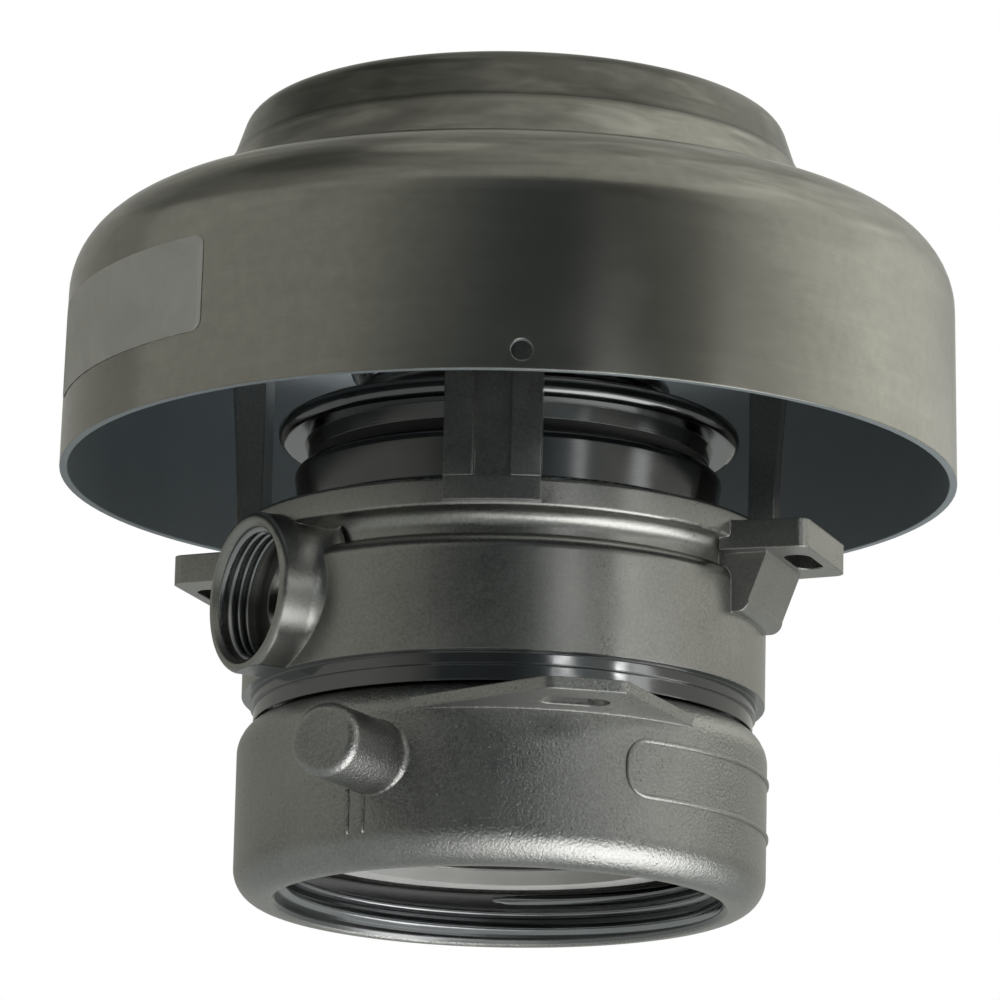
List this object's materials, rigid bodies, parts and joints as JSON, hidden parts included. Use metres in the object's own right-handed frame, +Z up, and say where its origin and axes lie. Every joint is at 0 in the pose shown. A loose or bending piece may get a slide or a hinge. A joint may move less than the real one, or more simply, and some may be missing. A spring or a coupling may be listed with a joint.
{
  "type": "tank breather valve",
  "caption": "Round stainless tank breather valve: spun rain canopy over a cast cage with a sprung pallet, side port and slotted lugs, on a swivel union nut with drive pegs.",
  "frame": {"origin": "centre of the bottom face of the union nut", "axes": "+Z up along the valve's axis, -Y towards the front pillar of the cage"},
  "size_m": [0.18, 0.18, 0.161],
  "materials": {
    "cast_stainless": "smooth investment-cast stainless steel, blasted and dull",
    "rough_cast_stainless": "grainy cast stainless steel with small pits",
    "turned_stainless": "turned and polished stainless steel",
    "spun_stainless": "spun stainless sheet, satin and stained",
    "spring_steel": "drawn stainless spring wire",
    "ptfe": "white fluoropolymer",
    "fibre": "pressed fibre gasket",
    "rubber": "black rubber",
    "bronze": "plain bearing bronze",
    "plug_plastic": "black plastic"
  },
  "bodies": {
    "housing": {"valve_body": "cast_stainless", "cage_ring": "cast_stainless", "cage_pillars": "cast_stainless", "nut_retaining_ring": "spring_steel", "union_gasket": "ptfe", "seat_nozzle": "turned_stainless", "nozzle_gasket": "fibre", "main_spring": "spring_steel", "upper_spring_plate": "turned_stainless", "adjusting_screw": "turned_stainless", "lock_ring": "turned_stainless", "guide_bush": "bronze", "adjuster_plug": "plug_plastic", "top_cap": "spun_stainless", "canopy": "spun_stainless"},
    "nut": {"union_nut": "rough_cast_stainless"},
    "pallet": {"pressure_pallet": "turned_stainless", "pallet_seal": "rubber", "seal_retainer": "turned_stainless", "retainer_screws": "turned_stainless", "guide_tube": "turned_stainless", "vacuum_spring": "spring_steel"},
    "vacuum": {"vacuum_poppet": "turned_stainless", "vacuum_seal": "rubber", "vacuum_spring_cup": "turned_stainless", "vacuum_stem_nut": "turned_stainless"}
  },
  "joints": [
    {"name": "nut_swivel", "type": "hinge", "parent": "housing", "child": "nut", "pos_m": [0, 0, 0.02], "axis": [0, 0, 1], "continuous": true},
    {"name": "pallet_lift", "type": "slide", "parent": "housing", "child": "pallet", "axis": [0, 0, 1], "range_m": [0, 0.01], "stiffness_N_per_m": 6000, "springref_m": -0.02, "deforming": ["main_spring"]},
    {"name": "vacuum_open", "type": "slide", "parent": "pallet", "child": "vacuum", "axis": [0, 0, -1], "range_m": [0, 0.008], "stiffness_N_per_m": 300, "springref_m": -0.01, "deforming": ["vacuum_spring"]}
  ]
}
